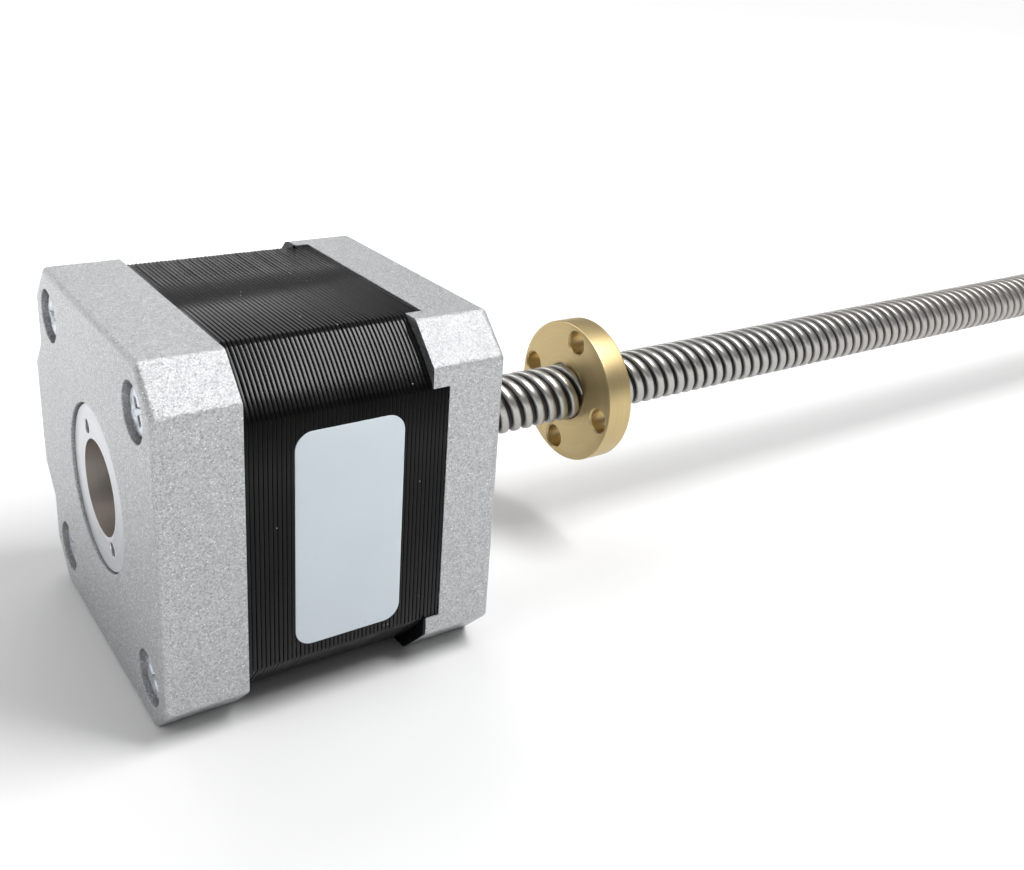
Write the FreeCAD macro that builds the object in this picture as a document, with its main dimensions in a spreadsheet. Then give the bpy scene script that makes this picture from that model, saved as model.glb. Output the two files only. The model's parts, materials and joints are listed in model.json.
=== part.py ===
"""Lead screw stepper motor: a square two-phase motor whose shaft is a screw that carries a flanged nut.

Millimetres. The origin is the middle of the front mounting face, on the screw's axis. +X runs along the
screw to its free end, +Z is up and -Y is the side with the label. Each piece is drawn from its own rear
end and then placed along X, so every station below is a distance along the axis.
"""

import FreeCAD, Part
import math
import os
import re
import Sketcher

# Driving dimensions, in millimetres, degrees and plain counts.
SIZES = {
    # square frame and die-cast covers
    "frame_width": 42.3,
    "motor_length": 40.0,
    "rear_cover_length": 9.1,
    "front_cover_length": 7.2,
    "corner_chamfer": 4.3,
    "crease_round": 0.8,
    "edge_round": 0.75,
    "ear_length": 2.1,
    "ear_reach": 6.55,
    "ear_wall": 1.37,
    "ear_clearance": 0.08,
    "side_wall": 3.05,
    "post_wall": 0.6,
    "rear_wall": 3.7,
    "front_wall": 2.9,
    "hub_wall": 2.8,
    # pilot boss on the front face
    "pilot_diameter": 22.0,
    "pilot_height": 2.0,
    "bearing_lip": 2.5,
    # tie screws, which share their holes with the mounting screws
    "bolt_inset": 5.65,
    "bolt_count": 4,
    "thread_bore": 3.0,
    "free_thread": 4.5,
    "shank_diameter": 2.9,
    "tip_gap": 0.5,
    "tie_hole": 3.4,
    "head_diameter": 5.5,
    "head_height": 2.2,
    "counterbore": 6.4,
    "counterbore_depth": 3.0,
    # rear bearing plug
    "plug_rim": 1.8,
    "plug_wall": 4.3,
    "plug_thickness": 3.2,
    "plug_setback": 0.4,
    "plug_clearance": 0.05,
    "spanner_hole": 1.4,
    "spanner_inset": 1.6,
    "spanner_angle": 61.0,
    "spanner_depth": 1.4,
    # shielded ball bearings
    "bearing_bore": 5.0,
    "bearing_diameter": 16.0,
    "bearing_width": 5.0,
    "inner_ring_wall": 1.5,
    "shield_gap": 0.3,
    "seat_clearance": 0.01,
    "front_bearing_setback": 0.6,
    # stator
    "stack_setback": 0.15,
    "stator_depth": 8.15,
    "pole_count": 8,
    "pole_width": 4.4,
    "pole_teeth": 6,
    "pole_shoe": 1.6,
    "slot_opening": 1.3,
    "slot_clearance": 0.2,
    "saddle_height": 0.8,
    "guard_height": 3.6,
    "guard_wall": 0.6,
    "guard_clearance": 0.2,
    "coil_build": 2.2,
    "coil_clearance": 0.1,
    "coil_corner": 1.2,
    # rotor
    "air_gap": 0.1,
    "rotor_teeth": 50,
    "rotor_inset": 1.4,
    "tooth_depth": 0.6,
    "tooth_slot": 0.85,
    "magnet_length": 2.5,
    "magnet_inset": 3.5,
    "spacer_wall": 1.3,
    # screw and nut
    "screw_diameter": 8.0,
    "screw_reach": 300.0,
    "screw_chamfer": 0.8,
    "thread_start": 0.8,
    "thread_depth": 0.8,
    "shaft_overhang": 0.4,
    "nut_station": 26.0,
    "nut_flange": 20.2,
    "nut_thickness": 3.9,
    "nut_hub_wall": 1.1,
    "nut_hub_length": 4.0,
    "nut_clearance": 0.05,
    "nut_hole": 3.2,
    "nut_hole_inset": 2.2,
    "nut_hole_count": 4,
    "nut_hole_angle": 11.6,
    # lead socket on the far side
    "socket_width": 12.4,
    "socket_height": 4.8,
    "socket_wall": 0.8,
    "socket_floor": 1.2,
    "socket_proud": 2.9,
    "socket_depth": 2.65,
    "socket_clearance": 0.05,
    "socket_key": 1.6,
    "hood_wall": 0.9,
    "hood_slope": 3.6,
    "hood_proud": 3.3,
    "pin_width": 0.6,
    "pin_pitch": 2.5,
    "pin_setback": 0.9,
    # label on the near side
    "label_width": 12.8,
    "label_inset": 5.45,
    "label_margin": 1.66,
    "label_drop": 0.3,
    "label_thickness": 0.12,
    "label_round": 2.0,
}

# Places along the axis, as formulas of the sizes.
REAR_FACE = "-motor_length"
STACK_REAR = "(rear_cover_length - motor_length)"
STACK_FRONT = "(-front_cover_length)"
STACK_LENGTH = "(motor_length - rear_cover_length - front_cover_length)"
PLUG_SEAT = "(plug_setback + plug_thickness)"
REAR_HUB_END = f"({PLUG_SEAT} + bearing_width)"
REAR_BEARING = f"({PLUG_SEAT} - motor_length)"
FRONT_BEARING = "(-front_bearing_setback - bearing_width)"
ROTOR_REAR = f"({STACK_REAR} + rotor_inset)"
ROTOR_FRONT = f"({STACK_FRONT} - rotor_inset)"
CORE_LENGTH = f"(({STACK_LENGTH} - magnet_length) / 2 - rotor_inset)"
LABEL_STATION = f"({STACK_REAR} + label_inset + label_width / 2)"

# Distances from the axis.
SIDE = "(frame_width / 2)"
CREASE = "(frame_width / 2 - corner_chamfer)"
HALF_BOLT = "(frame_width / 2 - bolt_inset)"
STACK_SIDE = "(frame_width / 2 - stack_setback)"
STACK_ARC = "((frame_width - corner_chamfer) / sqrt(2) - ear_wall)"
SEAT_RADIUS = "(bearing_diameter / 2 + seat_clearance)"
HUB_RADIUS = "(bearing_diameter / 2 + hub_wall)"
PLUG_RADIUS = "(bearing_diameter / 2 + plug_rim)"
PLUG_BORE = f"({PLUG_RADIUS} - plug_wall)"
PILOT_BORE = "(bearing_diameter / 2 - bearing_lip)"
SHAFT_RADIUS = "(bearing_bore / 2)"
CORE_BORE = "(bearing_bore / 2 + seat_clearance)"
INNER_RING = "(bearing_bore / 2 + inner_ring_wall)"
ROTOR_RADIUS = "(frame_width / 2 - stator_depth)"
STATOR_BORE = f"({ROTOR_RADIUS} + air_gap)"
SLOT_INNER = f"({STATOR_BORE} + pole_shoe)"
SCREW_RADIUS = "(screw_diameter / 2)"
SOCKET_ROOT = "(frame_width / 2 - socket_depth)"
SOCKET_MOUTH = "(frame_width / 2 + socket_proud)"

# The eight-sided room for the coil ends, kept clear of the sides and of the screw posts, and what fills it.
POST_SIDE = f"({HALF_BOLT} * sqrt(2) - counterbore / 2 - post_wall)"
ROOM = f"min({SIDE} - side_wall; {POST_SIDE})"
GUARD_OUTSIDE = f"({ROOM} - guard_clearance)"
GUARD_INSIDE = f"({GUARD_OUTSIDE} - guard_wall)"
COIL_CROWN = f"({GUARD_INSIDE} - coil_clearance)"
COIL_INSIDE = "(pole_width / 2 + coil_clearance)"
COIL_OUTSIDE = f"({COIL_INSIDE} + coil_build)"
HALF_PITCH = "(180 deg / pole_count)"
TOOTH_PITCH = "(360 deg / rotor_teeth)"
SLOT_OUTER = f"({COIL_CROWN} * cos({HALF_PITCH}) + {COIL_OUTSIDE} * sin({HALF_PITCH}) + slot_clearance)"

# How far a cut runs past an open face.
PAST = "1"
FULL_TURN = 360.0
# Lengths and volumes below this count as nothing.
TINY = 1e-6
# The four places of the socket, in pitches from its middle.
PIN_PLACES = (-1.5, -0.5, 0.5, 1.5)

doc = FreeCAD.newDocument("LeadScrewMotor")
sheet = doc.addObject("Spreadsheet::Sheet", "Sizes")
for row, (alias, value) in enumerate(SIZES.items(), start=1):
    sheet.set(f"A{row}", alias)
    sheet.set(f"B{row}", str(value))
    sheet.setAlias(f"B{row}", alias)
doc.recompute()

pieces = []


def formula(text):
    """The text as an expression in which each size is a cell of the sheet."""
    return re.sub(r"[a-z_]{3,}", lambda word: "Sizes." + word[0] if word[0] in SIZES else word[0], text)


def size(alias):
    return float(sheet.get(alias))


def piece(label, station="0", turn="0"):
    """A new body, placed along X and turned about X."""
    body = doc.addObject("PartDesign::Body", label)
    body.Label = label
    body.AllowCompound = True
    body.Placement = FreeCAD.Placement(FreeCAD.Vector(), FreeCAD.Rotation(FreeCAD.Vector(1, 0, 0), 1))
    body.setExpression("Placement.Base.x", formula(station))
    body.setExpression("Placement.Rotation.Angle", formula(turn))
    pieces.append(body)
    return body


def origin(body, role):
    return next(item for item in body.Origin.OriginFeatures if item.Role == role)


def sketch(body, plane="YZ_Plane", height="0", turn="0"):
    """An empty sketch on a plane of the body, raised along its normal and turned about it."""
    drawing = body.newObject("Sketcher::SketchObject", body.Label + "_sketch")
    drawing.AttachmentSupport = [(origin(body, plane), "")]
    drawing.MapMode = "FlatFace"
    drawing.AttachmentOffset = FreeCAD.Placement(
        FreeCAD.Vector(), FreeCAD.Rotation(FreeCAD.Vector(0, 0, 1), 1)
    )
    drawing.setExpression("AttachmentOffset.Base.z", formula(height))
    drawing.setExpression("AttachmentOffset.Rotation.Angle", formula(turn))
    return drawing


def bind(drawing, kind, *arguments):
    """Add a dimension whose value is the formula given last."""
    index = drawing.addConstraint(Sketcher.Constraint(kind, *arguments[:-1], 1.0))
    drawing.setExpression(f"Constraints[{index}]", formula(arguments[-1]))


def polygon(drawing, *corners):
    """A closed outline of straight lines through the corners, each a pair of formulas."""
    first = drawing.GeometryCount
    count = len(corners)
    turns = [i * math.tau / count for i in range(count + 1)]
    start = [FreeCAD.Vector(math.cos(turn), math.sin(turn)) for turn in turns]
    for i in range(count):
        drawing.addGeometry(Part.LineSegment(start[i], start[i + 1]), False)
    for i in range(count):
        drawing.addConstraint(Sketcher.Constraint("Coincident", first + i, 2, first + (i + 1) % count, 1))
    for i, (across, up) in enumerate(corners):
        bind(drawing, "DistanceX", -1, 1, first + i, 1, across)
        bind(drawing, "DistanceY", -1, 1, first + i, 1, up)


def circle(drawing, diameter, across="0", up="0"):
    index = drawing.addGeometry(Part.Circle(FreeCAD.Vector(), FreeCAD.Vector(0, 0, 1), 1.0), False)
    bind(drawing, "Diameter", index, diameter)
    bind(drawing, "DistanceX", -1, 1, index, 3, across)
    bind(drawing, "DistanceY", -1, 1, index, 3, up)


def rectangle(drawing, left, right, low, high):
    polygon(drawing, (left, low), (right, low), (right, high), (left, high))


def four_circles(drawing, diameter):
    """One circle at each corner of the bolt square."""
    for across in (HALF_BOLT, "-" + HALF_BOLT):
        for up in (HALF_BOLT, "-" + HALF_BOLT):
            circle(drawing, diameter, across, up)


def strip(drawing, near, far, width, turn):
    """A strip along a radius, turned about the axis."""
    half = f"({width} / 2)"
    low = f"(-{half})"
    corners = ((near, low), (far, low), (far, half), (near, half))
    polygon(
        drawing,
        *[
            (f"{out} * cos({turn}) - {aside} * sin({turn})", f"{out} * sin({turn}) + {aside} * cos({turn})")
            for out, aside in corners
        ],
    )


def eight_corners(side, crease):
    """The corners of a square, side from the middle, with chamfers that start at the crease."""
    return [
        (side, "-" + crease), (side, crease), (crease, side), ("-" + crease, side),
        ("-" + side, crease), ("-" + side, "-" + crease), ("-" + crease, "-" + side), (crease, "-" + side),
    ]


def feature(body, kind, drawing, reverse=False, axis=None, **bound):
    """A feature made from a sketch; a cut that takes nothing, or a pad that adds nothing, is an error."""
    doc.recompute()
    before = body.Shape.Volume if body.Tip else 0.0
    made = body.newObject("PartDesign::" + kind, body.Label + "_" + kind)
    made.Profile = drawing
    made.Reversed = reverse
    if axis:
        made.ReferenceAxis = (drawing, [axis])
        made.Angle = FULL_TURN
    for name, text in bound.items():
        made.setExpression(name, formula(text))
    doc.recompute()
    grown = body.Shape.Volume - before
    if abs(grown) < TINY or (grown > 0) != (kind in ("Pad", "Revolution")):
        raise RuntimeError(f"{made.Label} has no effect on {body.Label}")
    return made


def turned(body, kind, drawing, axis="H_Axis"):
    """A full Revolution or Groove about an axis of the sketch."""
    return feature(body, kind, drawing, axis=axis)


def pattern(body, features, count):
    """Repeat features evenly about the X axis."""
    made = body.newObject("PartDesign::PolarPattern", body.Label + "_pattern")
    made.Originals = features
    made.Axis = (origin(body, "X_Axis"), [""])
    made.Angle = FULL_TURN
    made.setExpression("Occurrences", formula(count))
    body.Tip = made
    doc.recompute()
    return made


def rounded(body, radius, wanted):
    """Round the edges that pass a test."""
    base = body.Tip
    names = [f"Edge{i}" for i, edge in enumerate(base.Shape.Edges, start=1) if wanted(edge)]
    made = body.newObject("PartDesign::Fillet", body.Label + "_Fillet")
    made.Base = (base, names)
    made.setExpression("Radius", formula(radius))
    body.Tip = made
    doc.recompute()


def regular_outline(drawing, flat):
    """A regular octagon, by the distance of its flats from the axis."""
    polygon(drawing, *eight_corners(flat, f"({flat} * tan(22.5 deg))"))


def runs_along(axis):
    """A test for straight edges along X, Y or Z (0, 1 or 2)."""
    def wanted(edge):
        ends = edge.BoundBox
        spans = (ends.XLength, ends.YLength, ends.ZLength)
        return all(span < TINY for i, span in enumerate(spans) if i != axis)
    return wanted


def lies_at(place):
    """A test for edges in the plane across X at a place."""
    return lambda edge: abs(edge.BoundBox.XMin - place) < TINY and edge.BoundBox.XLength < TINY


def ring(label, station, length, outer, inner):
    """A plain turned ring."""
    body = piece(label, station)
    drawing = sketch(body, "XZ_Plane")
    rectangle(drawing, "0", length, inner, outer)
    turned(body, "Revolution", drawing)
    return body


def make_rear_cover():
    """Cup with a stepped bore for plug and bearing, four sunk screw seats and a hooded window for the socket."""
    body = piece("rear_cover", REAR_FACE)
    outline = sketch(body)
    crown = "(socket_width / 2 + hood_wall)"
    foot = f"({crown} + hood_slope)"
    proud = f"({SIDE} + hood_proud)"
    first, *others = eight_corners(SIDE, CREASE)
    polygon(outline, first, (SIDE, "-" + foot), (proud, "-" + crown), (proud, crown), (SIDE, foot), *others)
    feature(body, "Pad", outline, Length="rear_cover_length")
    rounded(body, "crease_round", runs_along(0))
    rounded(body, "edge_round", lies_at(0.0))

    room = sketch(body, height="rear_cover_length")
    regular_outline(room, ROOM)
    feature(body, "Pocket", room, Length="rear_cover_length - rear_wall")
    hub = sketch(body, height="rear_wall")
    circle(hub, f"2 * {HUB_RADIUS}")
    feature(body, "Pad", hub, Length=f"{REAR_HUB_END} - rear_wall")

    bore = sketch(body, "XZ_Plane")
    recess = f"({PLUG_RADIUS} + plug_clearance)"
    polygon(
        bore,
        (f"-{PAST}", "0"), (f"-{PAST}", recess), (PLUG_SEAT, recess), (PLUG_SEAT, SEAT_RADIUS),
        (f"{REAR_HUB_END} + {PAST}", SEAT_RADIUS), (f"{REAR_HUB_END} + {PAST}", "0"),
    )
    turned(body, "Groove", bore)

    heads = sketch(body)
    four_circles(heads, "counterbore")
    feature(body, "Pocket", heads, reverse=True, Length="counterbore_depth")
    shanks = sketch(body)
    four_circles(shanks, "tie_hole")
    feature(body, "Pocket", shanks, reverse=True, Length=f"rear_cover_length + {PAST}")

    window = sketch(body, height="rear_cover_length")
    half = "(socket_width / 2 + socket_clearance)"
    rectangle(window, f"({ROOM} + {HUB_RADIUS}) / 2", f"{proud} + {PAST}", "-" + half, half)
    feature(body, "Pocket", window, Length="socket_height + socket_clearance")


def make_front_cover():
    """Mounting plate with a pilot boss, a bearing seat, four tapped corners and ears over the stack."""
    body = piece("front_cover", STACK_FRONT)
    outline = sketch(body, height="-ear_length")
    polygon(outline, *eight_corners(SIDE, CREASE))
    feature(body, "Pad", outline, Length="front_cover_length + ear_length")
    rounded(body, "crease_round", runs_along(0))
    rounded(body, "edge_round", lies_at(size("front_cover_length")))

    inside_ears = sketch(body)
    circle(inside_ears, f"2 * ({STACK_ARC} + ear_clearance)")
    feature(body, "Pocket", inside_ears, Length="ear_length")
    between_ears = sketch(body)
    half = f"({SIDE} - ear_reach)"
    far = f"({SIDE} + {PAST})"
    polygon(
        between_ears,
        (half, half), (half, far), ("-" + half, far), ("-" + half, half),
        ("-" + far, half), ("-" + far, "-" + half), ("-" + half, "-" + half), ("-" + half, "-" + far),
        (half, "-" + far), (half, "-" + half), (far, "-" + half), (far, half),
    )
    feature(body, "Pocket", between_ears, Length="ear_length")

    room = sketch(body)
    regular_outline(room, ROOM)
    feature(body, "Pocket", room, reverse=True, Length="front_cover_length - front_wall")
    hub = sketch(body)
    circle(hub, f"2 * {HUB_RADIUS}")
    feature(body, "Pad", hub, Length="front_cover_length")
    pilot = sketch(body, height="front_cover_length")
    circle(pilot, "pilot_diameter")
    feature(body, "Pad", pilot, Length="pilot_height")

    bore = sketch(body, "XZ_Plane")
    seat = "(front_cover_length - front_bearing_setback)"
    top = f"(front_cover_length + pilot_height + {PAST})"
    polygon(
        bore,
        (f"-{PAST}", "0"), (f"-{PAST}", SEAT_RADIUS), (seat, SEAT_RADIUS), (seat, PILOT_BORE),
        (top, PILOT_BORE), (top, "0"),
    )
    turned(body, "Groove", bore)

    tapped = sketch(body, height="front_cover_length")
    four_circles(tapped, "thread_bore")
    feature(body, "Pocket", tapped, Length="free_thread")
    shanks = sketch(body)
    four_circles(shanks, "tie_hole")
    feature(body, "Pocket", shanks, reverse=True, Length="front_cover_length - free_thread")


def make_stator_stack():
    """Square lamination stack: arcs at its corners, eight toothed poles inside, four tie screw holes."""
    body = piece("stator_stack", STACK_REAR)
    outline = sketch(body)
    rectangle(outline, "-" + STACK_SIDE, STACK_SIDE, "-" + STACK_SIDE, STACK_SIDE)
    feature(body, "Pad", outline, Length=STACK_LENGTH)
    corners = sketch(body)
    past = f"({STACK_ARC} + {PAST})"
    rectangle(corners, "-" + past, past, "-" + past, past)
    circle(corners, f"2 * {STACK_ARC}")
    feature(body, "Pocket", corners, reverse=True, Length=STACK_LENGTH)

    bore = sketch(body)
    circle(bore, f"2 * {STATOR_BORE}")
    feature(body, "Pocket", bore, reverse=True, Length=STACK_LENGTH)
    holes = sketch(body)
    four_circles(holes, "tie_hole")
    feature(body, "Pocket", holes, reverse=True, Length=STACK_LENGTH)

    slot = sketch(body, turn=HALF_PITCH)
    mouth = "slot_opening / 2"
    inner = f"({SLOT_INNER} * tan({HALF_PITCH}) - pole_width / 2 / cos({HALF_PITCH}))"
    outer = f"({SLOT_OUTER} * tan({HALF_PITCH}) - pole_width / 2 / cos({HALF_PITCH}))"
    start = f"{ROTOR_RADIUS} / 2"
    polygon(
        slot,
        (start, "-" + mouth), (SLOT_INNER, "-" + mouth), (SLOT_INNER, "-" + inner),
        (SLOT_OUTER, "-" + outer), (SLOT_OUTER, outer), (SLOT_INNER, inner),
        (SLOT_INNER, mouth), (start, mouth),
    )
    cut = feature(body, "Pocket", slot, reverse=True, Length=STACK_LENGTH)
    pattern(body, [cut], "pole_count")

    teeth = sketch(body)
    notches = int(size("pole_teeth")) - 1
    near = f"({ROTOR_RADIUS} - tooth_depth)"
    far = f"({STATOR_BORE} + tooth_depth)"
    for i in range(notches):
        strip(teeth, near, far, "tooth_slot", f"{i - (notches - 1) / 2} * {TOOTH_PITCH}")
    cut = feature(body, "Pocket", teeth, reverse=True, Length=STACK_LENGTH)
    pattern(body, [cut], "pole_count")


def make_insulator(label, station, facing):
    """Eight-sided guard wall with a saddle over the end of each pole; facing is +1 towards +X or -1."""
    body = piece(label, station)
    wall = sketch(body)
    regular_outline(wall, GUARD_OUTSIDE)
    regular_outline(wall, GUARD_INSIDE)
    feature(body, "Pad", wall, reverse=facing < 0, Length="guard_height")
    saddle = sketch(body)
    half = "pole_width / 2"
    rectangle(saddle, SLOT_INNER, f"({GUARD_INSIDE} + {GUARD_OUTSIDE}) / 2", "-" + half, half)
    pad = feature(body, "Pad", saddle, reverse=facing < 0, Length="saddle_height")
    pattern(body, [pad], "pole_count")


def make_coils(label, turn):
    """Every second pole's winding: a frame of wire with eased corners round the pole and its saddles."""
    body = piece(label, STACK_REAR, turn)
    root = f"(({SLOT_INNER} + coil_clearance - {COIL_INSIDE} * sin({HALF_PITCH})) / cos({HALF_PITCH}))"
    rear = "(-saddle_height - coil_clearance)"
    front = f"({STACK_LENGTH} + saddle_height + coil_clearance)"
    low = f"({rear} - coil_build)"
    high = f"({front} + coil_build)"
    wound = sketch(body, "XZ_Plane", f"-{root}")
    polygon(
        wound,
        (low, f"coil_corner - {COIL_OUTSIDE}"), (f"{low} + coil_corner", f"-{COIL_OUTSIDE}"),
        (f"{high} - coil_corner", f"-{COIL_OUTSIDE}"), (high, f"coil_corner - {COIL_OUTSIDE}"),
        (high, f"{COIL_OUTSIDE} - coil_corner"), (f"{high} - coil_corner", COIL_OUTSIDE),
        (f"{low} + coil_corner", COIL_OUTSIDE), (low, f"{COIL_OUTSIDE} - coil_corner"),
    )
    rectangle(wound, rear, front, f"-{COIL_INSIDE}", COIL_INSIDE)
    coil = feature(body, "Pad", wound, reverse=True, Length=f"{COIL_CROWN} - {root}")
    pattern(body, [coil], "pole_count / 2")


def make_bearing(label, station):
    """Outer ring, closed by its shields, and the inner ring that turns inside it."""
    lip = f"{INNER_RING} + shield_gap"
    ring(label + "_outer_ring", station, "bearing_width", "bearing_diameter / 2", lip)
    ring(label + "_inner_ring", station, "bearing_width", INNER_RING, CORE_BORE)


def make_bearing_plug():
    """Screwed-in ring behind the rear bearing, with two blind holes for a pin spanner."""
    body = ring("bearing_plug", "plug_setback - motor_length", "plug_thickness", PLUG_RADIUS, PLUG_BORE)
    holes = sketch(body, turn="spanner_angle")
    circle(holes, "spanner_hole", f"{PLUG_BORE} + spanner_inset")
    circle(holes, "spanner_hole", f"-({PLUG_BORE} + spanner_inset)")
    feature(body, "Pocket", holes, reverse=True, Length="spanner_depth")


def make_tie_screws():
    """Four screws from the rear cover through the stack into the front cover."""
    body = piece("tie_screws", "counterbore_depth - motor_length")
    drawing = sketch(body, "XZ_Plane", "-" + HALF_BOLT)
    axis = drawing.addGeometry(Part.LineSegment(FreeCAD.Vector(0, 0, 0), FreeCAD.Vector(1, 0, 0)), True)
    for end, across in ((1, "0"), (2, PAST)):
        bind(drawing, "DistanceX", -1, 1, axis, end, across)
        bind(drawing, "DistanceY", -1, 1, axis, end, HALF_BOLT)
    head = f"{HALF_BOLT} + head_diameter / 2"
    shank = f"{HALF_BOLT} + shank_diameter / 2"
    end = "(motor_length - free_thread - tip_gap - counterbore_depth)"
    polygon(
        drawing,
        ("-head_height", HALF_BOLT), ("-head_height", head), ("0", head), ("0", shank), (end, shank),
        (end, HALF_BOLT),
    )
    screw = turned(body, "Revolution", drawing, "Axis0")
    pattern(body, [screw], "bolt_count")


def make_rotor_core(label, station, turn):
    """Toothed rotor half on the shaft."""
    body = piece(label, station, turn)
    disc = sketch(body)
    circle(disc, f"2 * {ROTOR_RADIUS}")
    circle(disc, f"2 * {CORE_BORE}")
    feature(body, "Pad", disc, Length=CORE_LENGTH)
    notch = sketch(body)
    half = "tooth_slot / 2"
    rectangle(notch, f"{ROTOR_RADIUS} - tooth_depth", f"{ROTOR_RADIUS} + {PAST}", "-" + half, half)
    cut = feature(body, "Pocket", notch, reverse=True, Length=CORE_LENGTH)
    pattern(body, [cut], "rotor_teeth")


def make_rotor():
    """Two toothed halves, half a tooth apart, either side of the magnet, with a spacer to each bearing."""
    make_rotor_core("rotor_core_rear", ROTOR_REAR, "0")
    make_rotor_core("rotor_core_front", f"{ROTOR_FRONT} - {CORE_LENGTH}", "180 / rotor_teeth")
    magnet = f"{ROTOR_RADIUS} - magnet_inset"
    ring("rotor_magnet", f"{ROTOR_REAR} + {CORE_LENGTH}", "magnet_length", magnet, CORE_BORE)
    spacer = f"{SHAFT_RADIUS} + spacer_wall"
    rear_end = f"({REAR_BEARING} + bearing_width)"
    ring("rear_spacer", rear_end, f"{ROTOR_REAR} - {rear_end}", spacer, CORE_BORE)
    ring("front_spacer", ROTOR_FRONT, f"{FRONT_BEARING} - {ROTOR_FRONT}", spacer, CORE_BORE)


def make_lead_screw():
    """Shaft and screw in one: a thin shaft in the motor, a neck through the boss, then the thread."""
    rear = f"({REAR_BEARING} - shaft_overhang)"
    body = piece("lead_screw", rear)
    drawing = sketch(body, "XZ_Plane")
    shoulder = f"(-front_bearing_setback - {rear})"
    thread = f"(pilot_height + thread_start - {rear})"
    end = f"(screw_reach - {rear})"
    neck = f"({SCREW_RADIUS} - thread_depth)"
    polygon(
        drawing,
        ("0", "0"), ("0", SHAFT_RADIUS), (shoulder, SHAFT_RADIUS), (shoulder, neck), (thread, neck),
        (thread, SCREW_RADIUS), (f"{end} - screw_chamfer", SCREW_RADIUS),
        (end, f"{SCREW_RADIUS} - screw_chamfer"), (end, "0"),
    )
    turned(body, "Revolution", drawing)


def make_brass_nut():
    """Flanged nut: a drilled flange towards the motor and a short hub behind it."""
    body = piece("brass_nut", "nut_station")
    drawing = sketch(body, "XZ_Plane")
    bore = f"({SCREW_RADIUS} + nut_clearance)"
    flange = "nut_flange / 2"
    hub = f"({SCREW_RADIUS} + nut_hub_wall)"
    end = "(nut_thickness + nut_hub_length)"
    polygon(
        drawing,
        ("0", bore), (end, bore), (end, hub), ("nut_thickness", hub), ("nut_thickness", flange),
        ("0", flange),
    )
    turned(body, "Revolution", drawing)
    hole = sketch(body, turn="nut_hole_angle")
    circle(hole, "nut_hole", "nut_flange / 2 - nut_hole_inset")
    drilled = feature(body, "Pocket", hole, reverse=True, Length="nut_thickness")
    pattern(body, [drilled], "nut_hole_count")


def make_lead_socket():
    """Open-mouthed socket in the rear cover's window, with its contact pins; the mouth faces +Y."""
    half = "socket_width / 2"
    body = piece("lead_socket", STACK_REAR)
    block = sketch(body, "XZ_Plane", "-" + SOCKET_ROOT)
    rectangle(block, "-socket_height", "0", "-" + half, half)
    feature(body, "Pad", block, reverse=True, Length=f"{SOCKET_MOUTH} - {SOCKET_ROOT}")
    mouth = sketch(body, "XZ_Plane", f"-({SOCKET_ROOT} + socket_floor)")
    inside = f"({half} - socket_wall)"
    rectangle(mouth, "-socket_height + socket_wall", "-socket_wall", "-" + inside, inside)
    feature(body, "Pocket", mouth, Length=f"{SOCKET_MOUTH} - {SOCKET_ROOT}")
    keys = sketch(body, "XZ_Plane", f"-({SOCKET_ROOT} + socket_floor)")
    for place in ("pin_pitch", "-pin_pitch"):
        low = f"{place} - socket_key / 2"
        high = f"{place} + socket_key / 2"
        rectangle(keys, f"-socket_height - {PAST}", "-socket_height + socket_wall", low, high)
    feature(body, "Pocket", keys, Length=f"{SOCKET_MOUTH} - {SOCKET_ROOT}")

    pins = piece("socket_pins", STACK_REAR)
    squares = sketch(pins, "XZ_Plane", f"-({SOCKET_ROOT} + socket_floor)")
    middle = "(-socket_height / 2)"
    wide = "pin_width / 2"
    for place in PIN_PLACES:
        at = f"{place} * pin_pitch"
        rectangle(squares, f"{middle} - {wide}", f"{middle} + {wide}", f"{at} - {wide}", f"{at} + {wide}")
    length = f"{SOCKET_MOUTH} - {SOCKET_ROOT} - socket_floor - pin_setback"
    feature(pins, "Pad", squares, reverse=True, Length=length)


def make_label():
    """Bare sticker with rounded corners on the stack's near side."""
    body = piece("label_plate", LABEL_STATION)
    drawing = sketch(body, "XZ_Plane", STACK_SIDE)
    wide = "label_width / 2"
    tall = f"(sqrt({STACK_ARC} ^ 2 - {STACK_SIDE} ^ 2) - label_margin)"
    rectangle(drawing, "-" + wide, wide, f"-{tall} - label_drop", f"{tall} - label_drop")
    feature(body, "Pad", drawing, Length="label_thickness")
    rounded(body, "label_round", runs_along(1))


def check():
    """Stop if any object failed, or a piece is empty or unsound."""
    failed = [item.Label for item in doc.Objects if {"Invalid", "Error"} & set(item.State)]
    failed += [body.Label for body in pieces if body.Shape.isNull() or not body.Shape.isValid()]
    if failed:
        raise RuntimeError("failed: " + ", ".join(failed))


make_rear_cover()
make_front_cover()
make_stator_stack()
make_insulator("rear_insulator", STACK_REAR, -1)
make_insulator("front_insulator", STACK_FRONT, 1)
make_coils("phase_a_coils", "0")
make_coils("phase_b_coils", "360 / pole_count")
make_bearing("rear_bearing", REAR_BEARING)
make_bearing("front_bearing", FRONT_BEARING)
make_bearing_plug()
make_tie_screws()
make_rotor()
make_lead_screw()
make_brass_nut()
make_lead_socket()
make_label()
doc.recompute()
check()

os.makedirs("parts", exist_ok=True)
for body in pieces:
    body.Shape.exportStep(os.path.join("parts", body.Label + ".step"))
    print(f"{body.Label}: {len(body.Shape.Solids)} solid, {body.Shape.Volume:.1f} mm3")
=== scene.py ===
"""Looks of a lead screw stepper motor, built around its packed frame.

Metres. The origin is the middle of the front mounting face, on the screw's axis. +X runs along the screw to
its free end, +Z is up and -Y is the side with the label.
"""

import json
import math

import bmesh
import bpy
from bpy.props import FloatProperty, FloatVectorProperty, IntProperty, PointerProperty
from mathutils import Matrix, Vector


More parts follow.
